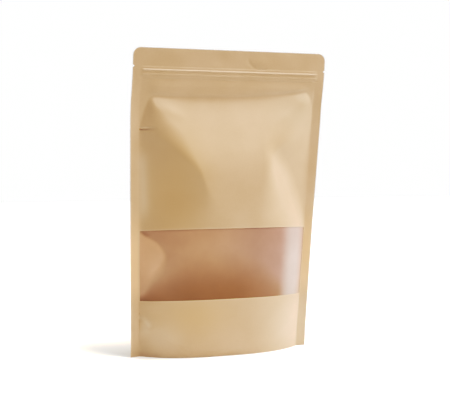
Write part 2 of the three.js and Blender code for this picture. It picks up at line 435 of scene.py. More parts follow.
    def panel_depth(self, x: Values, z: Values, side: Side) -> Values:
        """Depth of a panel over the plane of the seals.

        Args:
            x: Places across, from the middle of the pouch.
            z: Heights.
            side: The panel.

        Returns:
            The depth at each place, 0 on the seals and the header.
        """
        inner = self.inner_half(z)
        if side is Side.FRONT:
            left = along(self.left_slopes, z) * (x + inner - along(self.drawn_in, z))
            apex_x, apex_z, apex_depth = self.right_apex
            steep = apex_depth - self.right_steep * (x - apex_x) - self.right_drop * (z - apex_z)
            right = soft_max(steep, along(self.right_slopes, z) * (inner - x), self.valley_softness)
            facets = self.middle_depth(x, z, self.bulge_edge(x))
            facets = soft_min(facets, left, along(self.ridge_softness, z))
            facets = soft_min(facets, right, along(self.right_softness, z))
            ratio = 1.0
        else:
            flank = self.back_flank * (inner - np.abs(x))
            facets = self.middle_depth(x, z, self.back_bulge_top)
            facets = soft_min(facets, flank, self.back_softness)
            ratio = self.back_ratio
        lower = self.lower_depth(x, z)
        depth = between(lower, facets, smooth_step(z, self.blend_from, self.blend_to))
        depth = np.maximum(0.0, ratio * depth)
        from_left = along(self.left_fillet, z)
        from_right = along(self.right_fillet, z)
        share = smooth_step(x, -self.fillet_run, self.fillet_run)
        fillet = between(from_left, from_right, share)
        depth = depth * (1.0 - np.exp(-depth / fillet))
        return np.where(np.abs(x) >= inner, 0.0, depth)

    def gusset_seal(self, x: Values) -> Values:
        """Height of the round-bottomed seal between the gusset and a panel."""
        share = np.abs(x) / self.gusset_seal_reach
        return self.gusset_seal_low + self.gusset_seal_rise * share**self.gusset_seal_power

    def sheet_points(
        self, across: Values, up: Values, side: Side, relief: Values, inward: float = 0.0
    ) -> Values:
        """Bends the flat sheet of a panel into place.

        Args:
            across: Places across the flat sheet.
            up: Heights on the flat sheet.
            side: The panel.
            relief: How far fine folds lift the paper at each place.
            inward: How far behind the paper's outer face the points lie.

        Returns:
            One row of x, y and z for each place.
        """
        share = across / self.half_flat
        flat_depth = self.panel_depth(share * self.half_width(up), up, side)
        z = up + self.lift * smooth_step(up, 0.0, self.lift_full) * flat_depth
        x = share * self.half_width(z)
        depth = self.panel_depth(x, z, side)
        inner = self.inner_half(z)
        beyond = np.maximum(0.0, np.abs(x) - inner)
        keep = 1.0 - self.trim(z) / (self.half_width(z) - inner)
        x = np.where(beyond > 0.0, np.sign(x) * (inner + beyond * keep), x)
        face = self.paper + self.seam / 2.0 + depth + relief - inward
        curl = np.where(x < 0.0, self.left_curl, along(self.right_curls, z))
        curl = curl * (1.0 - smooth_step(z, self.lean_top, self.header_from))
        y = self.seal_plane(z) + side.value * face - curl * beyond
        return np.stack([x + self.sway * self.lean_share(z), y, z], axis=-1)


@dataclass(frozen=True)
class ZipRelief:
    """The press-to-close zip, as it shows through the paper of a panel."""

    ribs: tuple[tuple[float, float, float], ...] = (  # height, half width and rise
        (0.2793, 0.0010, 0.00050), (0.2750, 0.0011, 0.00032),
    )
    band_low: float = 0.2716
    band_high: float = 0.2822
    band_rise: float = 0.00025
    band_edge: float = 0.0009
    end: float = 0.0930
    end_run: float = 0.0030

    def height(self, across: Values, up: Values) -> Values:
        """How far the zip lifts the paper.

        Args:
            across: Places across the flat sheet.
            up: Heights on the flat sheet.

        Returns:
            The lift at each place.
        """
        half_edge = self.band_edge / 2
        low_edge = smooth_step(up, self.band_low - half_edge, self.band_low + half_edge)
        high_edge = smooth_step(up, self.band_high - half_edge, self.band_high + half_edge)
        rise = self.band_rise * (low_edge - high_edge)
        for height, half, rib_rise in self.ribs:
            share = np.clip(1.0 - ((up - height) / half) ** 2, 0.0, 1.0)
            rise = rise + rib_rise * share * share
        return rise * (1.0 - smooth_step(np.abs(across), self.end - self.end_run, self.end))


@dataclass(frozen=True)
class GussetSealRelief:
    """A panel's rise above the round line of the gusset's seal."""

    form: PouchForm
    rise: float = 0.0007
    right_share: float = 0.25  # how much of the rise is left at the right
    right_run: float = 0.050
    edge: float = 0.0012
    side_run: float = 0.003
    fade_from: float = 0.003
    fade_to: float = 0.018

    def height(self, across: Values, up: Values) -> Values:
        """How far the paper stands out above the seal.

        Args:
            across: Places across the flat sheet.
            up: Heights on the flat sheet.

        Returns:
            The lift at each place.
        """
        over = up - self.form.gusset_seal(across * self.form.half_base / self.form.half_flat)
        rise = smooth_step(over, -self.edge, self.edge)
        inside = self.form.half_flat - self.form.seal_width - np.abs(across)
        edges = smooth_step(inside, 0.0, self.side_run)
        share = 1.0 - (1.0 - self.right_share) * smooth_step(across, 0.0, self.right_run)
        fading = 1.0 - smooth_step(over, self.fade_from, self.fade_to)
        return self.rise * share * rise * fading * edges


@dataclass(frozen=True)
class UnderZipRelief:
    """The paper between the bulge and the zip, which stands out over the bulge's upper edge."""

    form: PouchForm
    rise: float = 0.0008
    low_from: float = 0.0005  # over the bulge's upper edge
    low_run: float = 0.0045
    high_from: float = 0.263
    high_to: float = 0.2712
    half: float = 0.086
    end_run: float = 0.012

    def height(self, across: Values, up: Values) -> Values:
        """How far the paper stands out.

        Args:
            across: Places across the flat sheet.
            up: Heights on the flat sheet.

        Returns:
            The lift at each place.
        """
        edge = self.form.bulge_edge(across) + self.low_from
        low = smooth_step(up, edge, edge + self.low_run)
        high = 1.0 - smooth_step(up, self.high_from, self.high_to)
        ends = smooth_step(self.half - np.abs(across), 0.0, self.end_run)
        return self.rise * low * high * ends


@dataclass(frozen=True)
class Inside:
    """Marks that stop at the side seals."""

    form: PouchForm
    marks: tuple[Relief, ...]
    run: float = 0.0012

    def height(self, across: Values, up: Values) -> Values:
        """How far the marks lift the paper.

        Args:
            across: Places across the flat sheet.
            up: Heights on the flat sheet.

        Returns:
            The lift at each place, 0 on the side seals.
        """
        inside = self.form.half_flat - self.form.seal_width - np.abs(across)
        return total_height(self.marks, across, up) * smooth_step(inside, 0.0, self.run)


@dataclass(frozen=True)
class SealedMarks:
    """Marks where both sheets lie on each other, so that they lift one and sink the other."""

    marks: tuple[Relief, ...]
    side: Side

    def height(self, across: Values, up: Values) -> Values:
        """How far the marks lift the paper of this side.

        Args:
            across: Places across the flat sheet.
            up: Heights on the flat sheet.

        Returns:
            The lift at each place.
        """
        return -self.side.value * total_height(self.marks, across, up)


# ---- Meshes ---------------------------------------------------------------------------------


def deselect_all() -> None:
    """Leaves object mode with nothing selected."""
    if bpy.context.object is not None and bpy.context.object.mode != "OBJECT":
        bpy.ops.object.mode_set(mode="OBJECT")
    bpy.ops.object.select_all(action="DESELECT")


def pick(piece: bpy.types.Object) -> None:
    """Makes one object the only selected one, and the active one.

    Args:
        piece: The object.
    """
    deselect_all()
    piece.select_set(True)
    bpy.context.view_layer.objects.active = piece


def flat_sheet(name: str, columns: Sequence[float], rows: Sequence[float]) -> bpy.types.Object:
    """Adds a flat sheet with chosen columns and rows.

    Args:
        name: The piece's name.
        columns: Places across, from left to right.
        rows: Heights, from low to high.

    Returns:
        The sheet, flat in X and Y.
    """
    deselect_all()
    bpy.ops.mesh.primitive_grid_add(
        x_subdivisions=len(columns) - 1, y_subdivisions=len(rows) - 1, size=1.0
    )
    sheet = bpy.context.object
    sheet.name = name
    sheet.data.name = name
    place = vertex_places(sheet)
    i = np.rint((place[:, 0] + 0.5) * (len(columns) - 1)).astype(int)
    j = np.rint((place[:, 1] + 0.5) * (len(rows) - 1)).astype(int)
    place[:, 0] = np.array(columns)[i]
    place[:, 1] = np.array(rows)[j]
    move_vertices(sheet, place)
    return sheet


def vertex_places(piece: bpy.types.Object) -> Values:
    """Where a mesh's vertices are.

    Args:
        piece: The mesh object.

    Returns:
        One row of x, y and z for each vertex.
    """
    place = np.zeros(len(piece.data.vertices) * 3)
    piece.data.vertices.foreach_get("co", place)
    return place.reshape(-1, 3)


def move_vertices(piece: bpy.types.Object, place: Values) -> None:
    """Moves a mesh's vertices to new places."""
    piece.data.vertices.foreach_set("co", place.ravel())
    piece.data.update()


def cut_opening(sheet: bpy.types.Object, low: SheetPlace, high: SheetPlace) -> None:
    """Cuts a rectangular opening in a flat sheet, along its columns and rows.

    Args:
        sheet: The flat sheet.
        low: The opening's lower left corner.
        high: The opening's upper right corner.
    """
    pick(sheet)
    bpy.ops.object.mode_set(mode="EDIT")
    bpy.ops.mesh.select_mode(type="FACE")
    bpy.ops.mesh.select_all(action="DESELECT")
    bpy.ops.object.mode_set(mode="OBJECT")
    for face in sheet.data.polygons:
        inside_x = low[0] < face.center.x < high[0]
        inside_y = low[1] < face.center.y < high[1]
        face.select = inside_x and inside_y
    bpy.ops.object.mode_set(mode="EDIT")
    bpy.ops.mesh.delete(type="FACE")
    bpy.ops.object.mode_set(mode="OBJECT")


def store(piece: bpy.types.Object, name: str, values: Values) -> None:
    """Stores a number or a vector for each vertex under a name.

    Args:
        piece: The mesh object.
        name: The attribute's name.
        values: One number, or one row of three, for each vertex.
    """
    vector = values.ndim == 2
    kind = "FLOAT_VECTOR" if vector else "FLOAT"
    attribute = piece.data.attributes.new(name, kind, "POINT")
    attribute.data.foreach_set("vector" if vector else "value", values.astype(np.float32).ravel())


def store_place(piece: bpy.types.Object, across: Values, up: Values, layer: float) -> None:
    """Stores where each vertex lies on its flat sheet, for the patterns of the finishes."""
    store(piece, SHEET, np.stack([across, up, np.full_like(up, layer)], axis=-1))


def flip_faces(piece: bpy.types.Object) -> None:
    """Turns all faces of a mesh to the other side.

    Args:
        piece: The mesh object.
    """
    pick(piece)
    bpy.ops.object.mode_set(mode="EDIT")
    bpy.ops.mesh.select_all(action="SELECT")
    bpy.ops.mesh.flip_normals()
    bpy.ops.object.mode_set(mode="OBJECT")


def thicken(piece: bpy.types.Object, thickness: float, inner: int, rim: int) -> None:
    """Gives a sheet its thickness, away from the side that its faces look to.

    Args:
        piece: The sheet.
        thickness: The sheet's thickness.
        inner: Material index of the inner face.
        rim: Material index of the cut edges.
    """
    pick(piece)
    wall = piece.modifiers.new("thickness", "SOLIDIFY")
    wall.thickness = thickness
    wall.offset = -1.0
    wall.material_offset = inner
    wall.material_offset_rim = rim
    bpy.ops.object.modifier_apply(modifier=wall.name)


def smooth(piece: bpy.types.Object, angle: float) -> None:
    """Shades a mesh smooth, with edges over an angle in degrees kept sharp."""
    pick(piece)
    bpy.ops.object.shade_smooth_by_angle(angle=math.radians(angle))


# ---- Finishes -------------------------------------------------------------------------------


class NodeBoard:
    """One material's nodes, added and joined one after another."""

    def __init__(self, name: str) -> None:
        """Starts a material with the plain surface shader.

        Args:
            name: The material's name.
        """
        self.material = bpy.data.materials.new(name)
        self.material.use_nodes = True
        self.tree = self.material.node_tree
        self.surface = self.tree.nodes["Principled BSDF"]

    def add(
        self, kind: str, settings: Mapping[str, str] | None = None, **inputs: Input
    ) -> bpy.types.Node:
        """Adds a node.

        Args:
            kind: The node's type.
            settings: Properties of the node itself.
            **inputs: Values or sockets for its inputs, named as Blender names them, with
                underscores for spaces.

        Returns:
            The new node.
        """
        node = self.tree.nodes.new(kind)
        for name, value in (settings or {}).items():
            setattr(node, name, value)
        self.feed(node, **inputs)
        return node

    def feed(self, node: bpy.types.Node, **inputs: Input) -> None:
        """Sets inputs of a node, or joins other nodes' sockets to them.

        Args:
            node: The node.
            **inputs: Values or sockets for its inputs, named as Blender names them, with
                underscores for spaces.
        """
        for name, value in inputs.items():
            label = name.replace("_", " ")
            self.join(next(s for s in node.inputs if s.name == label and s.enabled), value)

    def join(self, socket: Socket, value: Input) -> None:
        """Sets one socket, or links another node's socket to it.

        Args:
            socket: The input.
            value: A number, a colour, a vector or a socket.
        """
        if isinstance(value, bpy.types.NodeSocket):
            self.tree.links.new(value, socket)
        else:
            socket.default_value = value

    def attribute(self, name: str, output: str = "Fac") -> Socket:
        """Reads one of the piece's own attributes."""
        return self.add("ShaderNodeAttribute", {"attribute_name": name}).outputs[output]

    def noise(
        self,
        where: Socket,
        scale: float,
        detail: float = 2.0,
        stretch: tuple[float, float, float] = (1.0, 1.0, 1.0),
        turn: float = 0.0,
    ) -> Socket:
        """A cloudy pattern, stretched and turned.

        Args:
            where: The coordinates that it follows.
            scale: Clouds in a metre.
            detail: How many finer layers it has.
            stretch: How much finer it is along each direction.
            turn: How far it is turned in the sheet, in degrees.

        Returns:
            The pattern's value, about 0.5 in the mean.
        """
        place = self.add(
            "ShaderNodeMapping",
            {"vector_type": "TEXTURE"},
            Vector=where,
            Rotation=(0.0, 0.0, math.radians(turn)),
            Scale=tuple(1.0 / s for s in stretch),
        )
        pattern = self.add(
            "ShaderNodeTexNoise", Vector=place.outputs["Vector"], Scale=scale, Detail=detail
        )
        return pattern.outputs["Fac"]

    def ramp(
        self, value: Socket, low: float, high: float, to_low: float, to_high: float
    ) -> Socket:
        """Maps a range of values smoothly to another range.

        Args:
            value: The socket to map.
            low: Where the source range starts.
            high: Where it ends.
            to_low: The result at low.
            to_high: The result at high.

        Returns:
            The mapped value.
        """
        node = self.add(
            "ShaderNodeMapRange", {"interpolation_type": "SMOOTHSTEP"},
            Value=value, From_Min=low, From_Max=high, To_Min=to_low, To_Max=to_high,
        )
        return node.outputs["Result"]

    def spread(self, clouds: Socket, low: float = 0.0, high: float = 1.0) -> Socket:
        """Stretches the usual values of a cloudy pattern to a range."""
        return self.ramp(clouds, *CLOUD_RANGE, low, high)

    def blend(self, factor: Input, first: Input, second: Input) -> Socket:
        """Mixes two colours.

        Args:
            factor: How much of the second, a number or a socket.
            first: The first colour, or a socket.
            second: The second colour, or a socket.

        Returns:
            The mixed colour.
        """
        node = self.add("ShaderNodeMix", {"data_type": "RGBA"}, Factor=factor, A=first, B=second)
        return next(s for s in node.outputs if s.enabled)

    def product(self, first: Input, second: Input) -> Socket:
        """Multiplies two values.

        Args:
            first: A number or a socket.
            second: A number or a socket.

        Returns:
            The product.
        """
        node = self.add("ShaderNodeMath", {"operation": "MULTIPLY"})
        for socket, value in zip(node.inputs, (first, second)):
            self.join(socket, value)
        return node.outputs["Value"]

    def bump(self, height: Socket, distance: float, strength: float) -> None:
        """Gives the surface shader a bump.

        Args:
            height: The height's pattern, 0 to 1.
            distance: How high 1 stands, in metres.
            strength: The bump's strength, 0 to 1.
        """
        node = self.add("ShaderNodeBump", Height=height, Distance=distance, Strength=strength)
        self.feed(self.surface, Normal=node.outputs["Normal"])


@dataclass(frozen=True)
class KraftFinish:
    """Uncoated brown kraft paper: cloudy, with fine fibres and a few dark flecks, worn edges, and
    painted shade, glow and highlights.
    """

    name: str = "kraft"
    dark: Colour = (0.602, 0.423, 0.273, 1.0)
    light: Colour = (0.632, 0.449, 0.299, 1.0)
    fibre: Colour = (0.73, 0.57, 0.38, 1.0)
    fleck: Colour = (0.40, 0.25, 0.12, 1.0)
    # Paler paper, for worn edges and for painted highlights.
    worn_and_highlit: Colour = (0.75, 0.605, 0.455, 1.0)
    # Colour of the painted glow on the side seals.
    glowing: Colour = (0.88, 0.580, 0.350, 1.0)
    # Browner colour of the painted shade.
    painted_shade_tone: Colour = (0.61, 0.414, 0.236, 1.0)
    roughness: tuple[float, float] = (0.50, 0.62)
    clouds: Clouds = (30.0, 3.0)
    mottle: Clouds = (620.0, 3.0)
    fibres: Clouds = (420.0, 2.0)
    grain: Clouds = (2300.0, 2.0)
    fibre_stretch: tuple[float, float, float] = (1.0, 7.0, 1.0)
    fibre_turns: tuple[float, float, float] = (12.0, -38.0, 71.0)  # degrees
    mottle_shows: Ramp = (0.35, 0.75, 0.0, 0.12)
    fibre_shows: Ramp = (0.60, 0.74, 0.0, 0.12)
    fleck_shows: Ramp = (0.36, 0.27, 0.0, 0.10)
    glow_share: float = 0.6
    worn_and_highlit_share: float = 0.5
    grain_share: float = 0.4
    specular: float = 1.0
    coat: tuple[float, float] = (0.4, 0.40)  # weight and roughness
    sheen: tuple[float, float] = (0.20, 0.40)  # weight and roughness
    relief: tuple[float, float] = (0.00006, 0.55)  # height in metres and strength

    def make(self) -> bpy.types.Material:
        """Makes the material.

        Returns:
            The material.
        """
        board = NodeBoard(self.name)
        where = board.attribute(SHEET, "Vector")
        clouds = board.noise(where, *self.clouds)
        mottle = board.noise(where, *self.mottle)
        grain = board.noise(where, *self.grain)
        streaks = [
            board.noise(where, *self.fibres, self.fibre_stretch, turn) for turn in self.fibre_turns
        ]
        colour = board.blend(board.spread(clouds), self.dark, self.light)
        colour = board.blend(board.ramp(mottle, *self.mottle_shows), colour, self.fibre)
        for streak in streaks:
            colour = board.blend(board.ramp(streak, *self.fibre_shows), colour, self.fibre)
            colour = board.blend(board.ramp(streak, *self.fleck_shows), colour, self.fleck)
        # Painted shade.
        colour = board.blend(board.attribute(PAINTED_SHADE), colour, self.painted_shade_tone)
        # Painted glow on the side seals.
        glow = board.product(board.attribute(PAINTED_GLOW), self.glow_share)
        colour = board.blend(glow, colour, self.glowing)
        # Paler where the edges are worn, and where highlights are painted.
        worn_and_highlit = board.product(board.attribute(WEAR_AND_HIGHLIGHT), self.worn_and_highlit_share)
        colour = board.blend(worn_and_highlit, colour, self.worn_and_highlit)
        board.feed(
            board.surface,
            Base_Color=colour,
            Roughness=board.spread(mottle, *self.roughness),
            Specular_IOR_Level=self.specular,
            Coat_Weight=self.coat[0],
            Coat_Roughness=self.coat[1],
            Sheen_Weight=self.sheen[0],
            Sheen_Roughness=self.sheen[1],
        )
        fibres = board.blend(0.5, streaks[0], streaks[1])
        board.bump(board.blend(self.grain_share, fibres, grain), *self.relief)
        return board.material


@dataclass(frozen=True)
class LiningFinish:
    """The inside of the laminate: kraft under a thin gloss film."""

    name: str = "lining"
    dark: Colour = (0.46, 0.27, 0.13, 1.0)
    light: Colour = (0.54, 0.34, 0.18, 1.0)
    roughness: tuple[float, float] = (0.28, 0.38)
    clouds: Clouds = (55.0, 4.0)
    grain: Clouds = (700.0, 2.0)
    relief: tuple[float, float] = (0.00005, 0.4)  # height in metres and strength

    def make(self) -> bpy.types.Material:
        """Makes the material.

        Returns:
            The material.
        """
        board = NodeBoard(self.name)
        where = board.attribute(SHEET, "Vector")
        clouds = board.noise(where, *self.clouds)
        board.feed(
            board.surface,
            Base_Color=board.blend(board.spread(clouds), self.dark, self.light),
            Roughness=board.spread(clouds, *self.roughness),
        )
        board.bump(board.noise(where, *self.grain), *self.relief)
        return board.material


@dataclass(frozen=True)
class CutEdgeFinish:
    """The cut edge of the paper, a little paler and rougher than its face."""

    name: str = "cut_edge"
    dark: Colour = (0.60, 0.44, 0.27, 1.0)
    light: Colour = (0.74, 0.59, 0.41, 1.0)
    roughness: tuple[float, float] = (0.75, 0.9)
    fuzz: Clouds = (1500.0, 3.0)
    relief: tuple[float, float] = (0.0001, 0.5)  # height in metres and strength

    def make(self) -> bpy.types.Material:
        """Makes the material.

        Returns:
            The material.
        """
        board = NodeBoard(self.name)
        fuzz = board.noise(board.attribute(SHEET, "Vector"), *self.fuzz)
        board.feed(
            board.surface,
            Base_Color=board.blend(board.spread(fuzz), self.dark, self.light),
            Roughness=board.spread(fuzz, *self.roughness),
        )
        board.bump(fuzz, *self.relief)
        return board.material


@dataclass(frozen=True)
class FrostedFinish:
    """Frosted film: a pale haze over whatever lies behind it, with painted shade, painted light and
    a painted highlight.
    """

    name: str = "frosted"
    near: Colour = (0.67, 0.430, 0.290, 1.0)
    rosy: Colour = (0.54, 0.340, 0.265, 1.0)
    # Painted shade of the inside, seen through the film.
    interior_shade: Colour = (0.385, 0.195, 0.058, 1.0)
    # Painted light on the film beside the seals.
    bright: Colour = (1.0, 0.68, 0.47, 1.0)
    # Colour of the painted highlight on the film.
    highlight_tint: Colour = (0.725, 0.60, 0.54, 1.0)
    opacity: tuple[float, float] = (0.80, 0.83)
    roughness: tuple[float, float] = (0.34, 0.42)
    clouds: Clouds = (60.0, 3.0)
    frost: Clouds = (1800.0, 2.0)
    coat: tuple[float, float] = (0.8, 0.28)  # weight and roughness
    relief: tuple[float, float] = (0.00004, 0.5)  # height in metres and strength

    def make(self) -> bpy.types.Material:
        """Makes the material.

        Returns:
            The material.
        """
        board = NodeBoard(self.name)
        where = board.attribute(SHEET, "Vector")
        clouds = board.noise(where, *self.clouds)
        frost = board.noise(where, *self.frost)
        colour = board.blend(board.attribute(ROSE), self.near, self.rosy)
        # Painted shade of the inside.
        colour = board.blend(board.attribute(PAINTED_INTERIOR_SHADE), colour, self.interior_shade)
        # Painted light beside the seals.
        colour = board.blend(board.attribute(PAINTED_LIGHT), colour, self.bright)
        # Painted highlight.
        colour = board.blend(board.attribute(PAINTED_HIGHLIGHT), colour, self.highlight_tint)
        board.feed(
            board.surface,
            Base_Color=colour,
            Roughness=board.spread(frost, *self.roughness),
            Alpha=board.spread(clouds, *self.opacity),
            Coat_Weight=self.coat[0],
            Coat_Roughness=self.coat[1],
        )
        board.bump(frost, *self.relief)
        return board.material


@dataclass(frozen=True)
class FloorFinish:
    """A plain pale studio floor with a faint tooth."""

    name: str = "floor"
    dark: Colour = (0.89, 0.885, 0.86, 1.0)
    light: Colour = (0.93, 0.925, 0.90, 1.0)
    roughness: float = 0.8
    clouds: Clouds = (3.0, 3.0)

    def make(self) -> bpy.types.Material:
        """Makes the material.

        Returns:
            The material.
        """
        board = NodeBoard(self.name)
        where = board.add("ShaderNodeTexCoord").outputs["Object"]
        clouds = board.noise(where, *self.clouds)
        colour = board.blend(board.spread(clouds), self.dark, self.light)
        board.feed(board.surface, Base_Color=colour, Roughness=self.roughness)
        return board.material


# ---- The pouch's pieces ---------------------------------------------------------------------


@dataclass
class PouchPaper:
    """The finishes that a sheet of the pouch's paper has on its face, inside and cut edges."""

    face: bpy.types.Material
    inside: bpy.types.Material
    edge: bpy.types.Material

    def dress(self, sheet: bpy.types.Object, thickness: float) -> None:
        """Gives a bent sheet its materials, its thickness and smooth shading.

        Args:
            sheet: The bent sheet.
            thickness: The thickness of the paper.
        """
        for material in (self.face, self.inside, self.edge):
            sheet.data.materials.append(material)
        thicken(sheet, thickness, inner=1, rim=2)
        smooth(sheet, SHARP_ANGLE)


@dataclass
class PanelGrid:
    """The columns and rows that both panels and the film are made of."""

    form: PouchForm
    step: float = 0.00145
    seal_step: float = 0.0016
    header_step: float = 0.00045
    bulge_step: float = 0.0011
    bulge_from: float = 0.240
    zip_from: float = 0.2655
    corner_turn: float = 7.5  # degrees of each step round the top corners

    def columns(self) -> list[float]:
        """Works out the columns.

        Returns:
            Places across the sheet, from edge to edge.
        """
        form = self.form
        seal = form.half_flat - form.seal_width
        right = spaced(0.0, form.window_half, self.step)
        right += spaced(form.window_half, seal, self.step / 2)
        right += spaced(seal, form.half_flat, self.seal_step) + [form.half_flat]
        return [-value for value in reversed(right[1:])] + right

    def rows(self) -> list[float]:
        """Works out the rows.

        Returns:
            Heights on the sheet, from the base to the top.
        """
        form = self.form
        corner_from = form.height - form.corner_radius
        notch_from = form.notch_height - form.notch_half
        notch_to = form.notch_height + form.notch_half
        rows = spaced(0.0, form.window_low, self.step)
        rows += spaced(form.window_low, form.window_high, self.step)
        rows += spaced(form.window_high, self.bulge_from, self.step)
        rows += spaced(self.bulge_from, self.zip_from, self.bulge_step)
        rows += spaced(self.zip_from, notch_from, self.header_step)
        rows += spaced(notch_from, form.notch_height, self.header_step)
        rows += spaced(form.notch_height, notch_to, self.header_step)
        rows += spaced(notch_to, corner_from, 2 * self.header_step)
        turns = spaced(0.0, 90.0, self.corner_turn) + [90.0]
        rows += [corner_from + form.corner_radius * math.sin(math.radians(turn)) for turn in turns]
        return rows


@dataclass
class Panel:
    """One panel of the pouch with its seals and header, as one sheet of paper."""

    form: PouchForm
    grid: PanelGrid
    side: Side
    name: str
    reliefs: Sequence[Relief]
    windowed: bool = False
    painted_highlight_places: tuple[Relief, ...] = ()
    painted_shade_places: tuple[Relief, ...] = ()
    edge_wear: float = 0.5  # how rubbed the outer edges are
    edge_reach: float = 0.0008
    window_highlight: float = 0.7  # how strongly a painted highlight lightens the window's edges
    window_reach: float = 0.0006
    warm_side: tuple[float, float] = (-0.004, 0.003)  # where the glow starts, from the seal's edge
    warm_low: tuple[float, float] = (0.045, 0.075)  # between these heights it comes in
    warm_high: tuple[float, float] = (0.105, 0.155)  # and between these it goes
    warm_right: float = 0.7  # how strong it is at the right seal

    def build(self) -> bpy.types.Object:
        """Builds the panel: a flat sheet, cut and bent into place.

        Returns:
            The bent sheet, without thickness.
        """
        form = self.form
        sheet = flat_sheet(self.name, self.grid.columns(), self.grid.rows())
        if self.windowed:
            low = (-form.window_half, form.window_low)
            high = (form.window_half, form.window_high)
            cut_opening(sheet, low, high)
        place = vertex_places(sheet)
        across, up = place[:, 0], place[:, 1]
        store_place(sheet, across, up, self.side.value * LAYER)
        store(sheet, WEAR_AND_HIGHLIGHT, self.wear_and_highlight(across, up))
        store(sheet, PAINTED_GLOW, self.painted_glow(across, up))
        store(sheet, PAINTED_SHADE, total_height(self.painted_shade_places, across, up))
        relief = total_height(self.reliefs, across, up)
        move_vertices(sheet, form.sheet_points(across, up, self.side, relief))
        if self.side is Side.BACK:
            flip_faces(sheet)
        return sheet

    def wear_and_highlight(self, across: Values, up: Values) -> Values:
        """How much paler the paper is: worn at its outer edges, with painted highlights round its
        window and in the listed places.

        Args:
            across: Places across the flat sheet.
            up: Heights on the flat sheet.

        Returns:
            The paleness at each place, 0 to 1.
        """
        form = self.form
        edge = np.minimum(form.half_flat - np.abs(across), form.height - up)
        worn_and_highlit = self.edge_wear * np.exp(-edge / self.edge_reach)
        # Painted highlights, in the listed places.
        for mark in self.painted_highlight_places:
            worn_and_highlit = np.maximum(worn_and_highlit, mark.height(across, up))
        if self.windowed:
            middle = (form.window_low + form.window_high) / 2.0
            beside = np.maximum(np.abs(across) - form.window_half, 0.0)
            above = np.maximum(np.abs(up - middle) - (form.window_high - middle), 0.0)
            edge = np.hypot(beside, above)
            worn_and_highlit = np.maximum(worn_and_highlit, self.window_highlight * np.exp(-edge / self.window_reach))
        return worn_and_highlit

    def painted_glow(self, across: Values, up: Values) -> Values:
        """How strongly the side seals show a painted glow, beside the window.

        Args:
            across: Places across the flat sheet.
            up: Heights on the flat sheet.

        Returns:
            The glow at each place, 0 to 1.
        """
        seal = self.form.half_flat - self.form.seal_width
        beside = smooth_step(np.abs(across) - seal, *self.warm_side)
        level = smooth_step(up, *self.warm_low) * (1.0 - smooth_step(up, *self.warm_high))
        return beside * level * np.where(across < 0.0, 1.0, self.warm_right)

    def finish(self, sheet: bpy.types.Object, paper: PouchPaper) -> None:
        """Gives the panel its materials, its thickness and smooth shading."""
        paper.dress(sheet, self.form.paper)


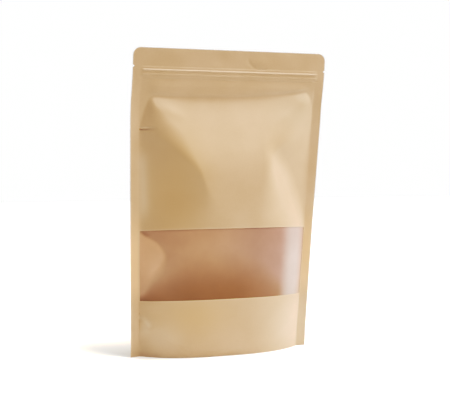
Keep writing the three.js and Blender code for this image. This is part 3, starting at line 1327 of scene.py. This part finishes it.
@dataclass
class WindowFilm:
    """The frosted film behind the opening, from side seal to side seal."""

    form: PouchForm
    grid: PanelGrid
    reliefs: Sequence[Relief]
    lap: float = 0.003
    side_lap: float = 0.0015
    behind: float = 0.00008  # between the paper and the film
    thickness: float = 0.00008
    dark_reach: Line = (  # across, and the share of the height that is dark
        (-0.0900, 0.10), (-0.0780, 0.38), (-0.0450, 0.75),
        (0.0, 0.77), (0.0300, 0.64), (0.0640, 0.30),
    )
    dark_left: tuple[float, float] = (0.040, 0.085)  # the dark gets weaker between these, leftwards
    dark_left_loss: float = 0.25
    dark_right_loss: float = 0.45
    # The painted light of the film's left facet, beside the seal.
    facet_edge: Line = (  # height, and how far the left facet reaches across
        (0.0555, -0.0950), (0.066, -0.0870), (0.082, -0.0745), (0.0985, -0.0685),
        (0.112, -0.0755), (0.1244, -0.0905),
    )
    facet_softness: Line = ((0.070, 0.0080), (0.095, 0.0034), (0.115, 0.0020))
    facet_low: tuple[float, float] = (0.0600, 0.0920)  # between these heights the facet comes in
    facet_foot: float = 0.15  # how much of it shows below them
    facet_share: float = 0.50
    rose_from: float = -0.040
    # The band of painted highlight at the right of the film.
    band_from: float = 0.054
    band_full: float = 0.072
    band_end: float = 0.078
    band_highlight: float = 0.80
    band_fade: tuple[float, float] = (0.070, 0.115)  # between these heights the band's end changes
    band_tint: tuple[float, float] = (0.8, 0.4)  # how light the end is, below and above
    band_clear: tuple[float, float] = (0.65, 0.80)  # how much of its painted highlight goes, below and above
    top_from: float = 0.090
    top_loss: float = 0.35  # how much of the painted highlight goes towards the window's upper edge
    pinch: Crease = Crease(  # a painted dark line of shade at the window's upper left corner
        ((-0.0935, 0.1260), (-0.0850, 0.1222), (-0.0790, 0.1190)), 0.0016, 0.30, 0.4
    )

    def build(self) -> bpy.types.Object:
        """Builds the film: a flat sheet under the opening, bent like the front panel.

        Returns:
            The bent sheet, without thickness.
        """
        form = self.form
        reach = form.window_half + self.side_lap
        low, high = form.window_low - self.lap, form.window_high + self.lap
        columns = [value for value in self.grid.columns() if abs(value) <= reach]
        rows = [value for value in self.grid.rows() if low <= value <= high]
        sheet = flat_sheet("window_film_sheet", columns, rows)
        place = vertex_places(sheet)
        across, up = place[:, 0], place[:, 1]
        store_place(sheet, across, up, 0.0)
        store(sheet, PAINTED_INTERIOR_SHADE, self.painted_interior_shade(across, up))
        store(sheet, ROSE, smooth_step(across, self.rose_from, self.band_from))
        store(sheet, PAINTED_LIGHT, self.painted_light(across, up))
        store(sheet, PAINTED_HIGHLIGHT, self.painted_highlight(across, up))
        relief = total_height(self.reliefs, across, up)
        inward = form.paper + self.behind
        move_vertices(sheet, form.sheet_points(across, up, Side.FRONT, relief, inward))
        return sheet

    def painted_interior_shade(self, across: Values, up: Values) -> Values:
        """How strong the painted shade behind the film is: strongest along the window's lower edge.

        Args:
            across: Places across the flat sheet.
            up: Heights on the flat sheet.

        Returns:
            The dark at each place, 0 to 1.
        """
        level = (up - self.form.window_low) / (self.form.window_high - self.form.window_low)
        dark = 1.0 - smooth_step(level, 0.0, along(self.dark_reach, across))
        share = 1.0 - self.dark_right_loss * smooth_step(across, 0.0, self.band_from)
        share = share - self.dark_left_loss * smooth_step(-across, *self.dark_left)
        return np.maximum(share * dark, self.pinch.height(across, up))

    def painted_light(self, across: Values, up: Values) -> Values:
        """How much painted light lightens the film where it leans against the seals.

        Args:
            across: Places across the flat sheet.
            up: Heights on the flat sheet.

        Returns:
            The lightness at each place, 0 to 1.
        """
        softness = along(self.facet_softness, up)
        left = 1.0 - smooth_step(across - along(self.facet_edge, up), -softness, softness)
        left = left * between(self.facet_foot, 1.0, smooth_step(up, *self.facet_low))
        right = smooth_step(across, self.band_end, self.form.window_half)
        right = right * between(*self.band_tint, smooth_step(up, *self.band_fade))
        return self.facet_share * np.maximum(left, right)

    def painted_highlight(self, across: Values, up: Values) -> Values:
        """How strong the painted highlight on the film is: in a band at the right, weaker at its
        top.

        Args:
            across: Places across the flat sheet.
            up: Heights on the flat sheet.

        Returns:
            The painted highlight at each place, 0 to 1.
        """
        band = smooth_step(across, self.band_from, self.band_full)
        cleared = between(*self.band_clear, smooth_step(up, *self.band_fade))
        edge = 1.0 - cleared * smooth_step(across, self.band_end, self.form.window_half)
        top = 1.0 - self.top_loss * smooth_step(up, self.top_from, self.form.window_high)
        return self.band_highlight * band * edge * top

    def finish(self, sheet: bpy.types.Object, film: bpy.types.Material) -> None:
        """Gives the film its material, its thickness and smooth shading.

        Args:
            sheet: The bent sheet.
            film: The film's finish, on both faces and the edges.
        """
        sheet.data.materials.append(film)
        thicken(sheet, self.thickness, inner=0, rim=0)
        smooth(sheet, SHARP_ANGLE)


@dataclass
class BottomGusset:
    """The folded sheet that opens the base: up the front, over its fold and down the back."""

    form: PouchForm
    half: float = 0.0765
    step: float = 0.0016
    start: float = 0.0008  # height of its lower edges
    clear: float = 0.00030  # between the gusset and a panel
    wall: float = 0.25  # share of each half that is sealed to its panel
    wall_rows: int = 10
    tent_rows: int = 26
    bow: float = 1.3
    pattern_half: float = 0.05  # length of each half in the paper's pattern
    pattern_layer: float = 3 * LAYER

    def build(self) -> bpy.types.Object:
        """Builds the gusset: a flat sheet, folded up into the base.

        Returns:
            The bent sheet, without thickness.
        """
        columns = spaced(-self.half, self.half, self.step) + [self.half]
        tent = 1.0 - self.wall
        shares = [self.wall * k / self.wall_rows for k in range(self.wall_rows)]
        shares += [self.wall + tent * k / self.tent_rows for k in range(self.tent_rows + 1)]
        rows = [share - 1.0 for share in shares[:-1]]
        rows += [1.0 - share for share in reversed(shares)]
        sheet = flat_sheet("bottom_gusset_sheet", columns, rows)
        place = vertex_places(sheet)
        x, turn = place[:, 0], place[:, 1]
        store_place(sheet, x, turn * self.pattern_half, self.pattern_layer)
        for name in (WEAR_AND_HIGHLIGHT, PAINTED_GLOW, PAINTED_SHADE):
            store(sheet, name, np.zeros_like(x))
        move_vertices(sheet, self.folded(x, turn))
        flip_faces(sheet)
        return sheet

    def folded(self, x: Values, turn: Values) -> Values:
        """Places on the folded sheet.

        Args:
            x: Places across.
            turn: From -1 at the front edge over 0 at the fold to 1 at the back edge.

        Returns:
            One row of x, y and z for each place.
        """
        form = self.form
        share = 1.0 - np.abs(turn)
        seal = form.gusset_seal(x)
        fold = form.gusset_apex + form.gusset_apex_rise * (x / form.gusset_half) ** 2
        rising = np.clip((share - self.wall) / (1.0 - self.wall), 0.0, 1.0)
        wall = between(self.start, seal, np.clip(share / self.wall, 0.0, 1.0))
        z = np.where(share < self.wall, wall, between(seal, fold, rising))
        foot = np.minimum(z, seal)
        plane, inward = form.seal_plane(foot), self.clear - form.seam / 2
        front = plane - form.panel_depth(x, foot, Side.FRONT) + inward
        back = plane + form.panel_depth(x, foot, Side.BACK) - inward
        middle = (front + back) / 2.0
        wall_y = np.where(turn < 0.0, front, back)
        wall_y = np.where(turn == 0.0, middle, wall_y)
        y = between(wall_y, middle, rising**self.bow)
        return np.stack([x, y, z], axis=-1)

    def finish(self, sheet: bpy.types.Object, paper: PouchPaper) -> None:
        """Gives the gusset its materials, its thickness and smooth shading."""
        paper.dress(sheet, self.form.paper)


# ---- Studio ---------------------------------------------------------------------------------


@dataclass
class Softbox:
    """A large soft light that faces the pouch."""

    name: str
    place: tuple[float, float, float]
    size: tuple[float, float]
    power: float
    colour: tuple[float, float, float] = (1.0, 1.0, 1.0)
    target: tuple[float, float, float] = (0.0, 0.0, 0.15)

    def build(self) -> bpy.types.Object:
        """Adds the light.

        Returns:
            The light.
        """
        deselect_all()
        bpy.ops.object.light_add(type="AREA", location=self.place)
        light = bpy.context.object
        light.name = self.name
        light.data.shape = "RECTANGLE"
        light.data.size, light.data.size_y = self.size
        light.data.energy = self.power
        light.data.color = self.colour
        away = Vector(self.place) - Vector(self.target)
        light.rotation_euler = away.to_track_quat("Z", "Y").to_euler()
        return light


@dataclass
class Studio:
    """A pale floor, soft lights and the camera."""

    floor_half: float = 1.0
    ambient: float = 0.248
    ambient_colour: Colour = (1.0, 0.950, 0.855, 1.0)
    backdrop: float = 1.0
    yaw: float = 22.39  # the camera's angles, in degrees
    pitch: float = 8.06
    roll: float = 2.42
    distance: float = 1.090
    target: tuple[float, float, float] = (-0.001444, -0.0002, 0.15356)
    lens: float = 88.24
    contrast: Line = (  # the picture's tones before, and after
        (0.10, 0.034), (0.22, 0.118), (0.40, 0.352), (0.60, 0.585), (0.80, 0.762), (0.92, 0.865),
    )
    softboxes: Sequence[Softbox] = field(default_factory=lambda: (
        Softbox("key", (0.732, -0.423, 1.963), (1.0, 1.0), 39.5, (0.960, 0.985, 1.02)),
        Softbox("side", (1.526, -0.134, 1.436), (1.0, 1.4), 10.0, (0.94, 0.98, 1.02)),
        Softbox("low", (1.40, -0.10, 0.15), (0.8, 0.4), 1.7, (0.94, 0.975, 1.02)),
        Softbox("top", (0.0, 0.0, 2.3), (1.8, 1.8), 27.0),
        Softbox("rear", (-0.9, 1.6, 1.3), (1.2, 1.2), 15.0),
    ))

    def floor(self, finish: FloorFinish) -> bpy.types.Object:
        """Lays the floor.

        Args:
            finish: The floor's finish.

        Returns:
            The floor.
        """
        deselect_all()
        bpy.ops.mesh.primitive_plane_add(size=2 * self.floor_half, location=(0.0, 0.0, 0.0))
        floor = bpy.context.object
        floor.name = "studio_floor"
        floor.data.materials.append(finish.make())
        return floor

    def surroundings(self) -> None:
        """Lights the room evenly, and shows a white backdrop."""
        world = bpy.data.worlds.new("studio")
        world.use_nodes = True
        bpy.context.scene.world = world
        nodes, links = world.node_tree.nodes, world.node_tree.links
        room = nodes["Background"]
        room.inputs["Color"].default_value = self.ambient_colour
        room.inputs["Strength"].default_value = self.ambient
        shown = nodes.new("ShaderNodeBackground")
        shown.inputs["Color"].default_value = (1.0, 1.0, 1.0, 1.0)
        shown.inputs["Strength"].default_value = self.backdrop
        rays = nodes.new("ShaderNodeLightPath")
        mix = nodes.new("ShaderNodeMixShader")
        links.new(rays.outputs["Is Camera Ray"], mix.inputs[0])
        links.new(room.outputs[0], mix.inputs[1])
        links.new(shown.outputs[0], mix.inputs[2])
        links.new(mix.outputs[0], nodes["World Output"].inputs["Surface"])

    def camera(self) -> bpy.types.Object:
        """Sets up the camera at the photograph's angle.

        Returns:
            The camera.
        """
        azimuth, pitch, roll = (math.radians(angle) for angle in (-self.yaw, self.pitch, self.roll))
        level = Vector((math.cos(azimuth), math.sin(azimuth), 0.0))
        ahead = Vector((math.sin(azimuth), -math.cos(azimuth), 0.0))
        back = math.cos(pitch) * ahead + Vector((0.0, 0.0, math.sin(pitch)))
        above = back.cross(level)
        right = math.cos(roll) * level + math.sin(roll) * above
        above = back.cross(right)
        deselect_all()
        bpy.ops.object.camera_add(location=(0.0, 0.0, 0.0))
        camera = bpy.context.object
        camera.name = "camera"
        camera.data.lens = self.lens
        turn = Matrix((right, above, back)).transposed().to_4x4()
        place = Vector(self.target) + back * self.distance
        camera.matrix_world = Matrix.Translation(place) @ turn
        bpy.context.scene.camera = camera
        return camera

    def tone(self) -> None:
        """Gives the picture the photograph's contrast, with white kept white."""
        view = bpy.context.scene.view_settings
        view.view_transform = "Standard"
        view.use_curve_mapping = True
        curve = view.curve_mapping.curves[ALL_COLOURS]
        for place, level in self.contrast:
            curve.points.new(place, level)
        view.curve_mapping.update()

    def build(self) -> None:
        """Builds the whole studio."""
        self.floor(FloorFinish())
        self.surroundings()
        for softbox in self.softboxes:
            softbox.build()
        self.camera()
        self.tone()


# ---- The pouch ------------------------------------------------------------------------------

FRONT_MARKS: tuple[Relief, ...] = (
    # The pinch at the left seal: a crease, and the paper over it.
    Crease(((-0.1020, 0.2230), (-0.0835, 0.2226), (-0.0740, 0.2222)), 0.0011, -0.0009, 0.4),
    Crease(((-0.1000, 0.2252), (-0.0740, 0.2246)), 0.0012, 0.0003, 0.4),
    Dimple((-0.0905, 0.2226), 0.0014, 0.0012, -0.0006),
    # The welt along the upper end of the left ridge.
    Crease(((-0.0830, 0.2510), (-0.0640, 0.2410), (-0.0420, 0.2290)), 0.0060, 0.0005, 0.45),
    # Where the gusset's seal meets the puffed panel.
    Dimple((-0.0800, 0.0525), 0.0120, 0.0060, 0.0011),
    Dimple((-0.0855, 0.0325), 0.0080, 0.0110, 0.0026),
    Crease(
        (
            (-0.1000, 0.0460), (-0.0911, 0.0424), (-0.0846, 0.0384),
            (-0.0812, 0.0320), (-0.0795, 0.0270),
        ),
        0.0042, -0.0020, 0.2, 1.0,
    ),
    # The rounded upper right corner of the bulge.
    Dimple((0.0760, 0.2530), 0.0150, 0.0090, 0.0006),
)

# Tones use the same shapes as reliefs: the height is then how strongly the tone shows.
PAINTED_HIGHLIGHT_PLACES: tuple[Relief, ...] = (
    # Painted highlight along the fold at the gusset's left corner.
    Crease(
        ((-0.0935, 0.0420), (-0.0865, 0.0375), (-0.0825, 0.0310), (-0.0815, 0.0260)),
        0.0028, 0.95, 0.3,
    ),
    # Painted highlights: paler paper beside the left seal, at the lower corners and at the bulge's
    # upper right corner.
    Crease(((-0.0885, 0.2080), (-0.0865, 0.1700), (-0.0855, 0.1300)), 0.0050, 0.70, 0.25),
    Dimple((0.0780, 0.0220), 0.0320, 0.0340, 0.95),
    Dimple((-0.0700, 0.0190), 0.0180, 0.0170, 0.50),
    Dimple((-0.0870, 0.0280), 0.0080, 0.0120, 0.60),
    Dimple((0.0700, 0.2380), 0.0280, 0.0220, 0.55),
    Dimple((0.0800, 0.2550), 0.0110, 0.0080, 0.80),
)

PAINTED_SHADE_PLACES: tuple[Relief, ...] = (
    # Painted shade, as browner paper, on the left flank, under the window and at the right seal.
    Dimple((-0.0580, 0.1650), 0.0300, 0.0550, 1.00),
    Dimple((-0.0380, 0.0400), 0.0400, 0.0220, 0.90),
    Dimple((0.0955, 0.1000), 0.0060, 0.0300, 0.90),
)

HEADER_MARKS: tuple[Relief, ...] = (
    # Creases and dents in the header, and small marks under the zip.
    Crease(((0.0160, 0.2935), (0.0185, 0.2880), (0.0260, 0.2822)), 0.0012, -0.00045),
    Crease(((0.0250, 0.2824), (0.0380, 0.2828)), 0.0011, -0.00035),
    Dimple((0.0310, 0.2900), 0.0070, 0.0055, 0.00045),
    Dimple((-0.0500, 0.2900), 0.0120, 0.0090, 0.00030),
    Dimple((-0.0120, 0.2915), 0.0080, 0.0070, -0.00035),
    Dimple((0.0620, 0.2890), 0.0110, 0.0080, 0.00035),
    Crease(((-0.0010, 0.2635), (0.0040, 0.2670), (0.0095, 0.2705)), 0.0012, 0.00016),
    Crease(((0.0050, 0.2625), (0.0130, 0.2660)), 0.0014, -0.00014),
    # The crushed ends of the zip.
    Dimple((-0.0905, 0.2723), 0.0022, 0.0007, -0.0004),
    Dimple((0.0905, 0.2723), 0.0022, 0.0007, -0.0004),
)

FILM_MARKS: tuple[Relief, ...] = (
    # The edge of the film's left facet, and the pinch at its upper corner.
    Crease(((-0.0890, 0.1250), (-0.0666, 0.1017), (-0.0856, 0.0719)), 0.0030, -0.0003),
    Crease(((-0.0893, 0.1244), (-0.0850, 0.1215), (-0.0815, 0.1193)), 0.0012, -0.0006),
)


def place_piece(piece: bpy.types.Object, slot: str, *nodes: str) -> None:
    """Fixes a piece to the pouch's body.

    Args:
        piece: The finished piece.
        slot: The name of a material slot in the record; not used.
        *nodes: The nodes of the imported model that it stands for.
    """
    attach(piece, BODY)
    if nodes:
        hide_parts(*nodes)
    log.info("%s: %d faces", piece.name, len(piece.data.polygons))


def main() -> None:
    """Builds the studio and the pouch, and reports each piece."""
    logging.basicConfig(level=logging.INFO, format="%(message)s")
    Studio().build()
    form = PouchForm()
    grid = PanelGrid(form)
    paper = PouchPaper(KraftFinish().make(), LiningFinish().make(), CutEdgeFinish().make())
    zip_relief = ZipRelief()
    seal_relief = GussetSealRelief(form)

    reliefs = [zip_relief, seal_relief, UnderZipRelief(form), Inside(form, FRONT_MARKS)]
    reliefs.append(SealedMarks(HEADER_MARKS, Side.FRONT))
    front = Panel(
        form, grid, Side.FRONT, "front_panel", reliefs,
        windowed=True, painted_highlight_places=PAINTED_HIGHLIGHT_PLACES, painted_shade_places=PAINTED_SHADE_PLACES,
    )
    sheet = front.build()
    front.finish(sheet, paper)
    place_piece(sheet, "kraft_paper", "kraft_pouch")

    reliefs = [zip_relief, seal_relief, SealedMarks(HEADER_MARKS, Side.BACK)]
    back = Panel(form, grid, Side.BACK, "back_panel", reliefs)
    sheet = back.build()
    back.finish(sheet, paper)
    place_piece(sheet, "kraft_paper")

    window = WindowFilm(form, grid, (Inside(form, FRONT_MARKS), *FILM_MARKS))
    sheet = window.build()
    window.finish(sheet, FrostedFinish().make())
    place_piece(sheet, "frosted_film", "window_film")

    gusset = BottomGusset(form)
    sheet = gusset.build()
    gusset.finish(sheet, paper)
    place_piece(sheet, "kraft_paper", "bottom_gusset")


if __name__ == "__main__":
    main()
